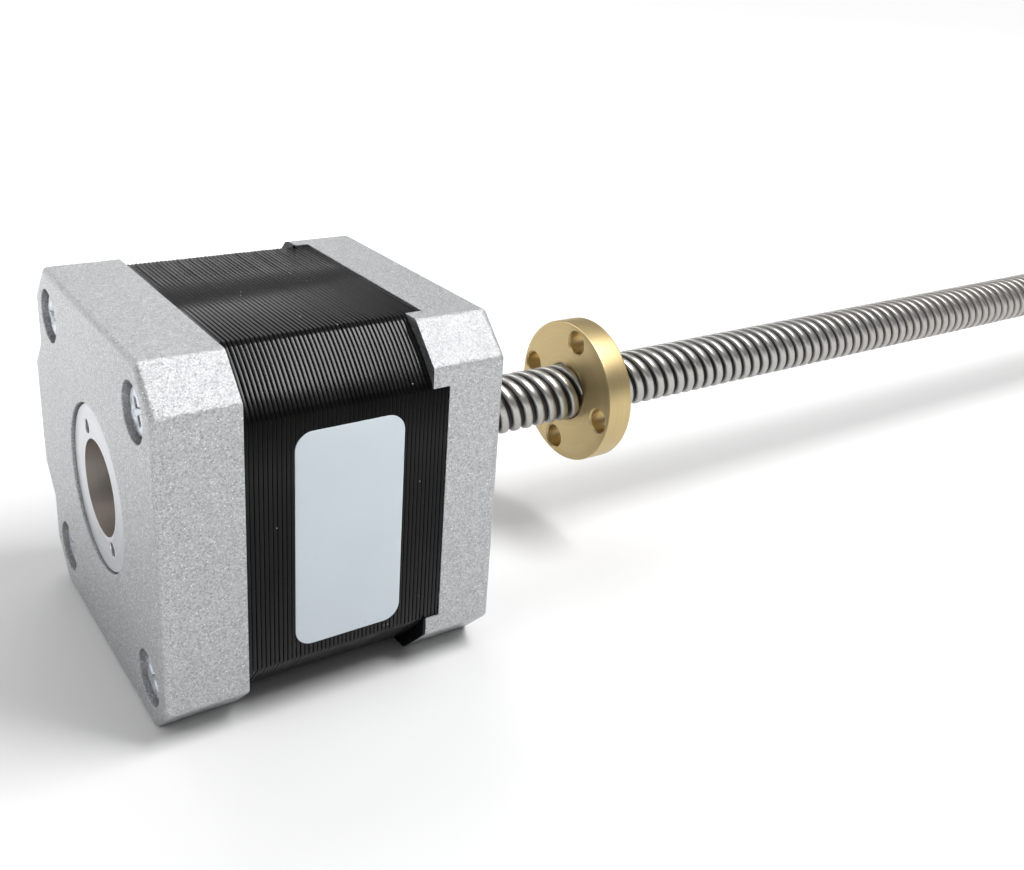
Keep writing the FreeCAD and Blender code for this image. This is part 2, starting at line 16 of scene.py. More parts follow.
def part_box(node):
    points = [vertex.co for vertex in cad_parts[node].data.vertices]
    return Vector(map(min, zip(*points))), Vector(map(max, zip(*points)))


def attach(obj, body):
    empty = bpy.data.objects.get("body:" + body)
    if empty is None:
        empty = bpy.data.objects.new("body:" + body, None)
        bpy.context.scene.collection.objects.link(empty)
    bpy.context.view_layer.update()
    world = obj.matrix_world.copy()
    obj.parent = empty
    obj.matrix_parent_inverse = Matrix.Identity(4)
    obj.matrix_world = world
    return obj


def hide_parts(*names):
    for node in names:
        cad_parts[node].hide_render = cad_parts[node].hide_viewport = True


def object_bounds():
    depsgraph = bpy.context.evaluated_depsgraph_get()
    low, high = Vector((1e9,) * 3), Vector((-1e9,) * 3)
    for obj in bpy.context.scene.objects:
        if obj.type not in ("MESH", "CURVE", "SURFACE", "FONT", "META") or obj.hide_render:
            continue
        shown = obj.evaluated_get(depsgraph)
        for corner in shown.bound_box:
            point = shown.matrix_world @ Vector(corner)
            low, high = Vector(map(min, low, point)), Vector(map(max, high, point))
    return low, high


bl_info = {
    "name": "Lead screw stepper motor",
    "version": (1, 0, 0),
    "blender": (4, 5, 0),
    "location": "View3D > Sidebar > Motor",
    "description": "Dresses the packed frame of a stepper motor whose shaft is a lead screw",
    "category": "Object",
}

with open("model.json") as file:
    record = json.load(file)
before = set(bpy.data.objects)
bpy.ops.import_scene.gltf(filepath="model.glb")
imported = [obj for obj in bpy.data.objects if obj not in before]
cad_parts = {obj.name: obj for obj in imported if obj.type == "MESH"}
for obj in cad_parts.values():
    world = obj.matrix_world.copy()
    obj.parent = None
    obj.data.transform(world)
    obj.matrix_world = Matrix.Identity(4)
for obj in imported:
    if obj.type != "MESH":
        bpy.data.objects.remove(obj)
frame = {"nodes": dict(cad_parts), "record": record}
CAD_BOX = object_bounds()
MOUNTS = {mount["name"]: mount for mount in frame["record"]["mounts"]}

MM = 0.001
ORIGIN = (0.0, 0.0, 0.0)
AXIS = (1.0, 0.0, 0.0)
WHITE = (1.0, 1.0, 1.0, 1.0)
MERGE = 2e-6
NEAR = 2e-6
CUT_NEAR = 1e-7
RIM_NEAR = 0.02 * MM
FLAT_ANGLE = math.radians(0.3)
ROUND_STEPS = 96
HOLE_STEPS = 40
THREAD_STEPS = 44
CORNER_STEPS = 10
# Where the middle point of an eased corner lies, as a share of the edge break.
EASE = 0.3
# One pitch of the screw's outline: share of the pitch from the middle of a groove, share of its depth.
THREAD_OUTLINE = (
    (0.0, 0.0), (0.12, 0.02), (0.20, 0.62), (0.24, 0.84), (0.30, 0.94), (0.40, 0.99),
    (0.60, 0.99), (0.70, 0.94), (0.76, 0.84), (0.80, 0.62), (0.88, 0.02),
)
# One lamination's edge: share of its thickness, share of the ridge's height.
LAMINATION_OUTLINE = (
    (0.0, 0.0), (0.06, 0.5), (0.13, 0.86), (0.20, 0.975), (0.27, 1.0),
    (0.73, 1.0), (0.80, 0.975), (0.87, 0.86), (0.94, 0.5),
)
# Crown of a screw head in millimetres: depth under its top, distance out from its flat.
HEAD_CROWN = ((0.0, 0.0), (0.04, 0.16), (0.13, 0.29), (0.30, 0.39))
# Degrees by which the recess in each screw head is turned.
RECESS_TURNS = (18.0, 63.0, 40.0, 5.0)
# Most of a noise's values lie in this band.
NOISE_BAND = (0.3, 0.7)
# Stations between which the painted shade in the screw's grooves fades towards its free end.
GROOVE_SHADE_SPAN = (0.05, 0.19)
# Size of each softbox and where it hangs, facing the origin.
SOFTBOXES = {
    "Key": ((0.20, 0.40), (0.265, -0.19, 0.56)),
    "Core": ((0.10, 0.36), (0.24, -0.175, 0.55)),
    "Back": ((0.40, 0.40), (0.10, 0.45, 0.50)),
    "Rim": ((0.30, 0.30), (-0.26, 0.60, 0.22)),
    "Fill": ((0.30, 0.30), (-0.45, -0.06, 0.40)),
}
FLOOR_RADIUS = 6.0
FLOOR_MIDDLE = 0.1
# Distances from the motor and its screw between which the glow of the sweep rises.
GLOW_SPAN = (0.05, 0.22)
# Heights in the sky, as Z of the ray, between which the horizon fades and the ceiling rises.
HORIZON_SPAN = (0.02, 0.15)
CEILING_SPAN = (0.4, 0.9)


# Properties


def quantity(name, default, description, **more):
    return FloatProperty(name=name, description=description, default=default, **more)


def length(*about):
    return quantity(*about, min=0.0, unit="LENGTH", precision=5)


def position(*about):
    return quantity(*about, subtype="DISTANCE", unit="LENGTH", precision=5)


def share(*about):
    return quantity(*about, min=0.0, max=1.0, subtype="FACTOR")


def degrees(name, default, description):
    return quantity(name, math.radians(default), description, subtype="ANGLE")


def level(*about):
    return quantity(*about, min=0.0)


def watts(*about):
    return quantity(*about, subtype="POWER")


def colour(name, default, description):
    return FloatVectorProperty(
        name=name, description=description, default=default, min=0.0, max=1.0, size=3, subtype="COLOR"
    )


class CoverSettings(bpy.types.PropertyGroup):
    """Die-cast covers."""

    cast: colour("Cast aluminium", (0.52, 0.525, 0.535), "Colour of the blasted castings")
    # Painted glints: this near-white colour goes on random cells of the grain and stands in for grains that
    # catch the light. A bump also lifts those cells.
    painted_glint: colour("Glint", (0.97, 0.97, 0.98), "Colour of the grains that catch the light")
    grain: length("Grain", 0.17 * MM, "Width of the blasted grain")
    # Share of the grain's cells that get the painted glint colour.
    sparkle: share("Sparkle", 0.075, "Share of the grains that catch the light")
    lean: share("Lean", 0.3, "How far the facets of the grain lean")
    # Painted shade on the front cover's ears: the next three set where, and in what near-black colour, the
    # rear ends of the ears away from the light are painted.
    ear_shade: position("Smear", -9.05 * MM, "Where the stack's lacquer ends on the ears of the front cover")
    ear_shade_limit: position("Smear limit", -12.0 * MM, "Station behind which the castings have no lacquer")
    ear_shade_colour: colour("Smear colour", (0.012, 0.012, 0.012), "Colour of the lacquer on the ears")
    counterbore: length("Counterbore", 3.2 * MM, "Radius of the tie screws' seats")
    rim: length("Rim", 0.38 * MM, "Rounding of the seats' rims")
    recess: length("Recess", 9.85 * MM, "Radius of the recess for the rear ring")
    recess_edge: length("Recess edge", 0.14 * MM, "Edge break of the recess")
    pilot: length("Pilot", 11.0 * MM, "Radius of the pilot boss")
    pilot_edge: length("Pilot edge", 0.3 * MM, "Edge break of the pilot boss")


class StackSettings(bpy.types.PropertyGroup):
    """Black lamination stack."""

    lacquer: colour("Lacquer", (0.0026, 0.0025, 0.0024), "Colour of the lacquer on the laminations")
    dust: colour("Dust", (0.35, 0.34, 0.33), "Colour of the specks of dust on the stack")
    count: IntProperty(name="Laminations", description="Number of ridges along the stack", default=47, min=1)
    ridge: length("Ridge", 0.13 * MM, "How far a lamination's edge stands out of the gaps beside it")
    uneven: share("Uneven", 0.3, "How much lower the lowest of the ridges may be")
    proud: length("Proud", 0.05 * MM, "How far the ridges stand out of the stack's plain side")
    sunk: length("Sunk", 0.25 * MM, "How far the core behind the ridges is sunk")


class LabelSettings(bpy.types.PropertyGroup):
    """Bare label."""

    paper: colour("Paper", (0.63, 0.70, 0.755), "Colour of the sticker")
    dust: colour("Dust", (0.45, 0.45, 0.45), "Colour of the specks of dust on the sticker")
    corner: length("Corner", 2.0 * MM, "Radius of the label's corners")
    edge: length("Edge", 0.04 * MM, "Rounding of the label's cut edge")


class RingSettings(bpy.types.PropertyGroup):
    """Rear ring and tie screws."""

    metal: colour("Machined ring", (0.66, 0.67, 0.70), "Colour of the turned ring")
    bore: length("Bore", 5.65 * MM, "Radius of the ring's bore")
    bore_metal: colour("Bore metal", (0.85, 0.76, 0.71), "Colour of the ring's dull bore")
    bore_stain: colour("Bore stain", (0.80, 0.79, 0.77), "Colour of the patches in the ring's bore")
    gap: length("Gap", 0.13 * MM, "Gap round the ring in its recess")
    chamfer: length("Chamfer", 0.1 * MM, "Edge break of the ring")
    spanner_circle: length("Spanner circle", 7.1 * MM, "Distance of the spanner holes from the axis")
    spanner_hole: length("Spanner hole", 0.82 * MM, "Radius of a spanner hole")
    spanner_depth: length("Spanner depth", 1.4 * MM, "Depth of a spanner hole")
    spanner_angle: degrees("Spanner angle", 61.0, "Where the first spanner hole stands, from +Y towards +Z")
    zinc: colour("Zinc", (0.70, 0.74, 0.80), "Colour of the plated tie screws")
    head: length("Head", 2.75 * MM, "Radius of a tie screw's head")
    head_flat: length("Head flat", 2.3 * MM, "Radius of the flat top of a head")
    head_height: length("Head height", 2.2 * MM, "Height of a tie screw's head in the solids")
    head_lift: length("Head lift", 0.22 * MM, "How far the heads stand out further than in the solids")
    shank: length("Shank", 1.45 * MM, "Radius of a tie screw's shank")
    recess: length("Recess", 1.65 * MM, "Reach of the cross recess from its middle")
    recess_width: length("Recess width", 0.8 * MM, "Width of the cross recess's arms")
    recess_depth: length("Recess depth", 0.6 * MM, "Depth of the cross recess")
    recess_floor: share("Recess floor", 0.4, "Size of the recess's floor against its mouth")


class ScrewSettings(bpy.types.PropertyGroup):
    """Lead screw and its nut."""

    steel: colour("Steel", (0.475, 0.47, 0.45), "Colour of the rolled thread's crests")
    far_steel: colour("Far steel", (0.44, 0.405, 0.375), "Colour of the crests towards the free end")
    # Painted shade: this dark colour fills the screw's grooves, found by distance from the axis.
    groove_shade: colour("Groove", (0.045, 0.043, 0.042), "Colour of the oily film in the grooves")
    pitch: length("Pitch", 2.0 * MM, "Distance from one crest to the next")
    starts: IntProperty(name="Starts", description="Number of threads side by side", default=4, min=1)
    crest: length("Crest", 4.0 * MM, "Radius over the crests")
    root: length("Root", 3.42 * MM, "Radius in the grooves")
    neck: length("Neck", 3.2 * MM, "Radius of the neck ahead of the front bearing")
    neck_start: position("Neck start", -0.6 * MM, "Station at which the neck begins")
    neck_end: length("Neck end", 2.8 * MM, "Distance from the front face to the thread")
    shaft: length("Shaft", 2.5 * MM, "Radius of the shaft in the motor")
    shaft_edge: length("Shaft edge", 0.3 * MM, "Chamfer of the shaft's rear end")
    chamfer: length("Chamfer", 0.8 * MM, "Chamfer of the free end")
    brass: colour("Brass", (0.55, 0.43, 0.222), "Colour of the nut")
    bolt_angle: degrees("Bolt angle", 11.6, "Where the nut's first hole stands, from +Y towards +Z")
    bolt_edge: length("Bolt edge", 0.22 * MM, "Edge break of the nut's bolt holes")
    mouth: length("Mouth", 4.24 * MM, "Radius of the mouths of the nut's thread")
    sink: length("Sink", 0.12 * MM, "Depth of those mouths")
    play: length("Play", 0.12 * MM, "Radial play between the nut's thread and the screw's")
    edge: length("Edge", 0.25 * MM, "Edge break of the nut")


class StageSettings(bpy.types.PropertyGroup):
    """Camera, floor and light."""

    eye: FloatVectorProperty(
        name="Eye", description="Where the camera stands", default=(-0.069164, -0.116474, 0.061418),
        subtype="TRANSLATION", unit="LENGTH",
    )
    aim: FloatVectorProperty(
        name="Aim", description="How the camera is turned",
        default=[math.radians(turn) for turn in (67.769, -3.386, -33.502)], subtype="EULER",
    )
    lens: quantity("Lens", 39.893, "Focal length in millimetres", subtype="UNSIGNED")
    shift: FloatVectorProperty(
        name="Shift", description="Shift of the picture in the camera's frame",
        default=(0.0268, -0.0497), size=2,
    )
    floor: colour("Floor", (0.80, 0.80, 0.80), "Colour of the floor")
    sweep: level("Sweep", 0.66, "Glow of the white sweep away from the motor")
    ambient: level("Ambient", 0.62, "Light from straight above")
    wall: level("Wall", 0.16, "Light from between the white horizon and above")
    key: watts("Key", 1.0, "Power of the wide softbox above")
    core: watts("Core", 2.45, "Power of the narrow softbox just under the wide one")
    back: watts("Back", 1.5, "Power of the softbox behind")
    rim: watts("Rim", 0.45, "Power of the softbox behind on the left")
    fill: watts("Fill", 0.52, "Power of the softbox on the left")


# Modelling


def lathe(bm, outline, steps=ROUND_STEPS, centre=(0.0, 0.0)):
    """Spins an outline of (station, radius) points about an axis along X through centre, given as (y, z)."""
    y, z = centre
    verts = [bm.verts.new((x, y, z + radius)) for x, radius in outline]
    edges = [bm.edges.new(pair) for pair in zip(verts, verts[1:])]
    bmesh.ops.spin(
        bm, geom=verts + edges, cent=(0.0, y, z), axis=AXIS, angle=math.tau, steps=steps, use_merge=True
    )
    merge(bm)


def eased(station, radius, along, out):
    """Three points of an outline round a corner: off it by out, between the two, and off it by along."""
    middle = station + EASE * along, radius + EASE * out
    return (station, radius + out), middle, (station + along, radius)


def merge(bm):
    bmesh.ops.remove_doubles(bm, verts=bm.verts, dist=MERGE)


def open_rims(bm, station):
    """The open edges in the plane at a station."""
    return [e for e in bm.edges if e.is_boundary and all(abs(v.co.x - station) < NEAR for v in e.verts)]


def lid(bm, station):
    """Fills the flat face between the open rims at a station."""
    bmesh.ops.triangle_fill(bm, edges=open_rims(bm, station), use_beauty=True)


def corner_lids(bm, station):
    """Fills the flat faces at a station one quarter at a time, each between its own rims."""
    rims = open_rims(bm, station)
    for y in (-1, 1):
        for z in (-1, 1):
            here = [e for e in rims if e.verts[0].co.y * y > 0 and e.verts[0].co.z * z > 0]
            bmesh.ops.triangle_fill(bm, edges=here, use_beauty=True)


def cut(bm, station, side=1.0, clear=False):
    """Cuts the mesh square at a station, and may clear away what lies on one side of it."""
    bmesh.ops.bisect_plane(
        bm, geom=bm.verts[:] + bm.edges[:] + bm.faces[:], dist=CUT_NEAR, plane_co=(station, 0.0, 0.0),
        plane_no=(side, 0.0, 0.0), clear_outer=clear,
    )


def verts_in(geom):
    return [g for g in geom if isinstance(g, bmesh.types.BMVert)]


def carry(bm, rim, along, grow=1.0):
    """Extrudes a rim of edges along X, scales it about the axis and returns the new rim."""
    made = bmesh.ops.extrude_edge_only(bm, edges=rim)["geom"]
    verts = verts_in(made)
    bmesh.ops.translate(bm, verts=verts, vec=(along, 0.0, 0.0))
    bmesh.ops.scale(bm, verts=verts, vec=(1.0, grow, grow))
    new = set(verts)
    return [g for g in made if isinstance(g, bmesh.types.BMEdge) and new.issuperset(g.verts)]


def on_circle(radius, angle):
    return radius * math.cos(angle), radius * math.sin(angle)


def radius_of(vert):
    return math.hypot(vert.co.y, vert.co.z)


def set_radius(vert, radius):
    factor = radius / radius_of(vert)
    vert.co.y *= factor
    vert.co.z *= factor


def scatter(number):
    """A repeatable share from 0 to 1 that jumps about from one whole number to the next."""
    return math.sin(number * 12.9898) * 43758.5453 % 1.0


def thread(bm, settings, start, end, play=0.0):
    """Spins the screw's outline along its lead and cuts it off square at both ends."""
    pitch, lead = settings.pitch, settings.pitch * settings.starts
    first = math.floor((start - lead) / pitch) - 1
    last = math.ceil(end / pitch) + 1
    depth = settings.crest - settings.root
    verts = [
        bm.verts.new(((turn + along) * pitch, 0.0, settings.root + height * depth + play))
        for turn in range(first, last) for along, height in THREAD_OUTLINE
    ]
    edges = [bm.edges.new(pair) for pair in zip(verts, verts[1:])]
    bmesh.ops.spin(
        bm, geom=verts + edges, cent=ORIGIN, axis=AXIS, angle=math.tau, steps=THREAD_STEPS,
        dvec=(lead / THREAD_STEPS, 0.0, 0.0),
    )
    merge(bm)
    cut(bm, start, -1.0, True)
    cut(bm, end, 1.0, True)


def copy_of(name):
    """A CAD node's mesh as a bmesh, with its loose triangles joined and its flat faces whole."""
    bm = bmesh.new()
    bm.from_mesh(frame["nodes"][name].data)
    merge(bm)
    bmesh.ops.dissolve_limit(bm, angle_limit=FLAT_ANGLE, verts=bm.verts, edges=bm.edges)
    return bm


def rim_of(bm, station, radius, centres=((0.0, 0.0),)):
    """The edges in the plane at a station that lie on a circle about any of the centres."""
    def on_rim(vert):
        x, y, z = vert.co
        away = min(abs(math.hypot(y - centre[0], z - centre[1]) - radius) for centre in centres)
        return abs(x - station) < NEAR and away < RIM_NEAR
    return [e for e in bm.edges if all(on_rim(v) for v in e.verts)]


def soften(bm, edges, width, segments=3):
    bmesh.ops.bevel(
        bm, geom=edges, offset=width, offset_type="OFFSET", segments=segments, profile=0.5, affect="EDGES",
        material=-1, clamp_overlap=True,
    )


def keep(bm, name, body, finish, replaces=(), sharp=35.0):
    """Turns a bmesh into a finished piece that rides on a body."""
    merge(bm)
    bmesh.ops.recalc_face_normals(bm, faces=bm.faces)
    mesh = bpy.data.meshes.new(name)
    bm.to_mesh(mesh)
    bm.free()
    mesh.shade_smooth()
    mesh.set_sharp_from_angle(angle=math.radians(sharp))
    mesh.materials.append(finish)
    piece = bpy.data.objects.new(name, mesh)
    bpy.context.scene.collection.objects.link(piece)
    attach(piece, body)
    if replaces:
        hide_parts(*replaces)
    return piece


def flat_faced(piece):
    """Keeps the shading of large flat faces flat up to their rounded edges."""
    weighted = piece.modifiers.new("Weighted normals", "WEIGHTED_NORMAL")
    weighted.keep_sharp = True


def dress(name, finish):
    """Gives a carried-over CAD node its finish."""
    piece = frame["nodes"][name]
    piece.data.materials.clear()
    piece.data.materials.append(finish)


# Node trees


def node(tree, kind, inputs=None, **settings):
    """Adds a node; inputs maps sockets to values or to the sockets that feed them."""
    made = tree.nodes.new(kind)
    for name, value in settings.items():
        setattr(made, name, value)
    for key, value in (inputs or {}).items():
        feed(tree, made.inputs[key], value)
    return made


def feed(tree, socket, value):
    if isinstance(value, bpy.types.NodeSocket):
        tree.links.new(value, socket)
    else:
        socket.default_value = value


def maths(tree, operation, *values):
    return node(tree, "ShaderNodeMath", dict(enumerate(values)), operation=operation).outputs[0]


def vector_maths(tree, operation, inputs):
    return node(tree, "ShaderNodeVectorMath", inputs, operation=operation).outputs[0]


def span(tree, value, low, high, to_low=0.0, to_high=1.0):
    """Maps a value's range from low and high to two others, clamped."""
    inputs = {"Value": value, "From Min": low, "From Max": high, "To Min": to_low, "To Max": to_high}
    return node(tree, "ShaderNodeMapRange", inputs).outputs["Result"]


def spread(tree, value, to_low=0.0, to_high=1.0):
    """Spreads the band that most of a noise lies in over a range."""
    return span(tree, value, *NOISE_BAND, to_low, to_high)


def blend(tree, factor, first, second):
    """Mixes two colours."""
    made = node(tree, "ShaderNodeMix", data_type="RGBA")
    for number, value in ((0, factor), (6, first), (7, second)):
        feed(tree, made.inputs[number], value)
    return made.outputs[2]


def place(tree):
    return node(tree, "ShaderNodeTexCoord").outputs["Object"]


def parts_of(tree, vector):
    return node(tree, "ShaderNodeSeparateXYZ", {0: vector}).outputs


def reach(tree, *sides):
    """Length of the diagonal across two sides."""
    squares = [maths(tree, "MULTIPLY", side, side) for side in sides]
    return maths(tree, "SQRT", maths(tree, "ADD", *squares))


def noise(tree, size, detail=2.0, rough=0.5, vector=None):
    """Noise whose features are about size across."""
    scale = maths(tree, "DIVIDE", 1.0, size) if isinstance(size, bpy.types.NodeSocket) else 1.0 / size
    inputs = {"Vector": vector or place(tree), "Scale": scale, "Detail": detail, "Roughness": rough}
    return node(tree, "ShaderNodeTexNoise", inputs).outputs["Fac"]


def specks(tree, scale, chance, small, large):
    """Random colour of each cell, its red part, and a mask of round specks in the given share of cells."""
    cells = node(tree, "ShaderNodeTexVoronoi", {"Vector": place(tree), "Scale": scale}).outputs
    pick = node(tree, "ShaderNodeSeparateColor", {0: cells["Color"]}).outputs[0]
    chosen = maths(tree, "GREATER_THAN", pick, maths(tree, "SUBTRACT", 1.0, chance))
    spot = span(tree, cells["Distance"], small, large, 1.0, 0.0)
    return cells["Color"], pick, maths(tree, "MULTIPLY", chosen, spot)


def from_axis(tree):
    """Station along the screw's axis and distance from it."""
    parts = parts_of(tree, place(tree))
    return parts["X"], reach(tree, parts["Y"], parts["Z"])


def tint(rgb, factor=1.0):
    return (*[min(1.0, part * factor) for part in rgb], 1.0)


def node_group(name, inputs, outputs, vectors=()):
    """An empty group with its float sockets, any vectors put out after them, and its two end nodes."""
    tree = bpy.data.node_groups.new(name, "ShaderNodeTree")
    for label, default in inputs:
        socket = tree.interface.new_socket(name=label, in_out="INPUT", socket_type="NodeSocketFloat")
        socket.default_value = default
    for kind, labels in (("NodeSocketFloat", outputs), ("NodeSocketVector", vectors)):
        for label in labels:
            tree.interface.new_socket(name=label, in_out="OUTPUT", socket_type=kind)
    return tree, tree.nodes.new("NodeGroupInput").outputs, tree.nodes.new("NodeGroupOutput").inputs


def grain_group():
    """Blasted casting grain: fine tone, wide clouds, a mask of painted glints, dark flecks and leaning
    facets.
    """
    tree, given, put = node_group(
        "Cast Grain", (("Size", 0.2 * MM), ("Sparkle", 0.03), ("Lean", 0.3)),
        ("Grain", "Cloud", "Glint", "Fleck"), ("Facet",),
    )
    feed(tree, put["Grain"], noise(tree, given["Size"], 3.0, 0.9))
    feed(tree, put["Cloud"], noise(tree, 4.0 * MM, 3.0, 0.6))
    scale = maths(tree, "DIVIDE", 0.85, given["Size"])
    # Random cells whose mask carries the painted glint colour and a bump.
    random, pick, painted_glint = specks(tree, scale, given["Sparkle"], 0.22, 0.40)
    feed(tree, put["Glint"], painted_glint)
    feed(tree, put["Fleck"], pick)
    lean = vector_maths(tree, "SUBTRACT", {0: random, 1: (0.5, 0.5, 0.5)})
    lean = vector_maths(tree, "SCALE", {0: lean, "Scale": given["Lean"]})
    upright = node(tree, "ShaderNodeNewGeometry").outputs["Normal"]
    facet = vector_maths(tree, "ADD", {0: upright, 1: lean})
    feed(tree, put["Facet"], vector_maths(tree, "NORMALIZE", {0: facet}))
    return tree


def turned_group():
    """Fine marks of a turning tool round the screw's axis."""
    tree, given, put = node_group("Turned Marks", (("Width", 0.05 * MM),), ("Marks", "Bands"))
    station, radius = from_axis(tree)
    vector = node(tree, "ShaderNodeCombineXYZ", {0: station, 1: radius}).outputs[0]
    wide = maths(tree, "MULTIPLY", given["Width"], 9.0)
    feed(tree, put["Marks"], noise(tree, given["Width"], 2.0, 0.6, vector))
    feed(tree, put["Bands"], noise(tree, wide, 1.0, 0.5, vector))
    return tree


def handling_group():
    """Smudges left by handling, and specks of dust."""
    tree, given, put = node_group("Handling", (("Size", 6.0 * MM), ("Dust", 0.01)), ("Smudge", "Speck"))
    feed(tree, put["Smudge"], noise(tree, given["Size"], 4.0, 0.62))
    speck = specks(tree, 1.0 / (0.5 * MM), given["Dust"], 0.08, 0.2)[2]
    feed(tree, put["Speck"], speck)
    return tree


GROUPS = {"Cast Grain": grain_group, "Turned Marks": turned_group, "Handling": handling_group}


def shared(tree, name, **inputs):
    """Places a shared group, built the first time that it is asked for."""
    group = bpy.data.node_groups.get(name) or GROUPS[name]()
    made = tree.nodes.new("ShaderNodeGroup")
    made.node_tree = group
    for label, value in inputs.items():
        feed(tree, made.inputs[label], value)
    return made.outputs


def new_finish(name, **values):
    """A material with the constant values of its shader set, with its tree and shader's inputs."""
    material = bpy.data.materials.new(name)
    material.use_nodes = True
    tree = material.node_tree
    sockets = tree.nodes["Principled BSDF"].inputs
    for label, value in values.items():
        sockets[label.replace("_", " ")].default_value = value
    return material, tree, sockets


def paint(tree, sockets, base, rough):
    feed(tree, sockets["Base Color"], base)
    feed(tree, sockets["Roughness"], rough)


def bump(tree, sockets, height, distance, strength=1.0, normal=None):
    made = node(tree, "ShaderNodeBump", {"Height": height, "Distance": distance, "Strength": strength})
    if normal:
        feed(tree, made.inputs["Normal"], normal)
    feed(tree, sockets["Normal"], made.outputs["Normal"])


# Finishes


def cast_aluminium(settings):
    """Blasted casting, with painted shade in near-black on the rear ends of the front cover's ears that face
    away from the light.
    """
    material, tree, sockets = new_finish("Blasted cast aluminium", Metallic=1.0)
    grain = shared(tree, "Cast Grain", Size=settings.grain, Sparkle=settings.sparkle, Lean=settings.lean)
    smudge = shared(tree, "Handling", Size=9.0 * MM, Dust=0.0)["Smudge"]
    dark, light, cloudy, deep = [tint(settings.cast, factor) for factor in (0.42, 1.60, 0.85, 0.3)]
    base = blend(tree, span(tree, grain["Grain"], 0.28, 0.72), dark, light)
    base = blend(tree, spread(tree, grain["Cloud"], 0.0, 0.14), base, cloudy)
    base = blend(tree, span(tree, grain["Fleck"], 0.0, 0.4, 0.35, 0.0), base, deep)
    # Painted glints: near-white colour on random cells of the grain.
    base = blend(tree, grain["Glint"], base, tint(settings.painted_glint))
    # Painted shade: near-black on the rear ends of the ears that face away from the light.
    base = blend(tree, painted_ear_shade(tree, settings, grain["Cloud"]), base, tint(settings.ear_shade_colour))
    rough = span(tree, grain["Grain"], 0.25, 0.75, 0.33, 0.45)
    paint(tree, sockets, base, maths(tree, "ADD", rough, spread(tree, smudge, -0.03, 0.03)))
    height = maths(tree, "ADD", grain["Grain"], grain["Glint"])
    bump(tree, sockets, height, 0.08 * MM, 0.9, grain["Facet"])
    return material


def painted_ear_shade(tree, settings, cloud):
    """Mask of painted shade on the rear ends of the front cover's ears, without the upper ear on the label's
    side, which faces the light.
    """
    parts = parts_of(tree, place(tree))
    ragged = maths(tree, "ADD", parts["X"], spread(tree, cloud, -0.15 * MM, 0.15 * MM))
    # Painted shade fades out across a short, ragged band along the ears.
    ear_shade = span(tree, ragged, settings.ear_shade, settings.ear_shade + 0.12 * MM, 1.0, 0.0)
    front = maths(tree, "GREATER_THAN", parts["X"], settings.ear_shade_limit)
    far = maths(tree, "GREATER_THAN", parts["Y"], 0.0)
    lower = maths(tree, "LESS_THAN", parts["Z"], 0.0)
    ear_shade = maths(tree, "MULTIPLY", ear_shade, front)
    return maths(tree, "MULTIPLY", ear_shade, maths(tree, "MAXIMUM", far, lower))


def black_lacquer(settings):
    material, tree, sockets = new_finish("Black lacquer", Specular_IOR_Level=0.16)
    marks = shared(tree, "Handling", Size=5.0 * MM, Dust=0.012)
    base = blend(tree, spread(tree, marks["Smudge"]), tint(settings.lacquer), tint(settings.lacquer, 1.9))
    fine = noise(tree, 0.16 * MM, 3.0, 0.6)
    rough = maths(tree, "ADD", spread(tree, marks["Smudge"], 0.15, 0.21), spread(tree, fine, -0.02, 0.02))
    paint(tree, sockets, blend(tree, marks["Speck"], base, tint(settings.dust)), rough)
    bump(tree, sockets, fine, 0.006 * MM, 0.3)
    return material


def label_paper(settings):
    material, tree, sockets = new_finish("Label paper", Roughness=0.36, Specular_IOR_Level=0.5)
    marks = shared(tree, "Handling", Size=8.0 * MM, Dust=0.004)
    base = blend(tree, spread(tree, marks["Smudge"]), tint(settings.paper, 0.985), tint(settings.paper, 1.02))
    feed(tree, sockets["Base Color"], blend(tree, marks["Speck"], base, tint(settings.dust)))
    bump(tree, sockets, noise(tree, 0.12 * MM, 3.0, 0.6), 0.004 * MM, 0.35)
    return material


def turned_metal(name, rgb, rough, width, depth, dark=0.86):
    """Metal that was turned about the screw's axis."""
    material, tree, sockets = new_finish(name, Metallic=1.0)
    marks = shared(tree, "Turned Marks", Width=width)
    hands = shared(tree, "Handling", Size=3.0 * MM, Dust=0.0)
    base = blend(tree, spread(tree, marks["Bands"]), tint(rgb, dark), tint(rgb, 1.05))
    fine = span(tree, marks["Marks"], 0.25, 0.75, -0.04, 0.04)
    uneven = maths(tree, "ADD", fine, spread(tree, hands["Smudge"], -0.015, 0.02))
    paint(tree, sockets, base, maths(tree, "ADD", uneven, rough))
    bump(tree, sockets, marks["Marks"], depth, 0.6)
    return material


def turned_ring(settings):
    """Bright turned face round a dull, stained bore."""
    material = turned_metal("Turned ring", settings.metal, 0.36, 0.06 * MM, 0.004 * MM, 0.97)
    tree = material.node_tree
    sockets = tree.nodes["Principled BSDF"].inputs
    face = sockets["Base Color"].links[0].from_socket
    radius = from_axis(tree)[1]
    stain = span(tree, noise(tree, 2.2 * MM, 3.0, 0.6), 0.35, 0.65)
    streaks = shared(tree, "Turned Marks", Width=0.12 * MM)["Marks"]
    dull = blend(tree, stain, tint(settings.bore_metal), tint(settings.bore_stain))
    dull = blend(tree, span(tree, streaks, 0.35, 0.7, 0.0, 0.35), dull, tint(settings.bore_metal, 0.6))
    outer = span(tree, radius, settings.bore + 0.03 * MM, settings.bore + 0.08 * MM)
    feed(tree, sockets["Base Color"], blend(tree, outer, dull, face))
    return material


def zinc_plate(settings):
    material, tree, sockets = new_finish("Zinc plate", Metallic=1.0)
    hands = shared(tree, "Handling", Size=1.2 * MM, Dust=0.0)
    base = blend(tree, spread(tree, hands["Smudge"]), tint(settings.zinc, 0.8), tint(settings.zinc, 1.15))
    paint(tree, sockets, base, spread(tree, hands["Smudge"], 0.2, 0.36))
    bump(tree, sockets, noise(tree, 0.15 * MM, 3.0), 0.01 * MM, 0.5)
    return material


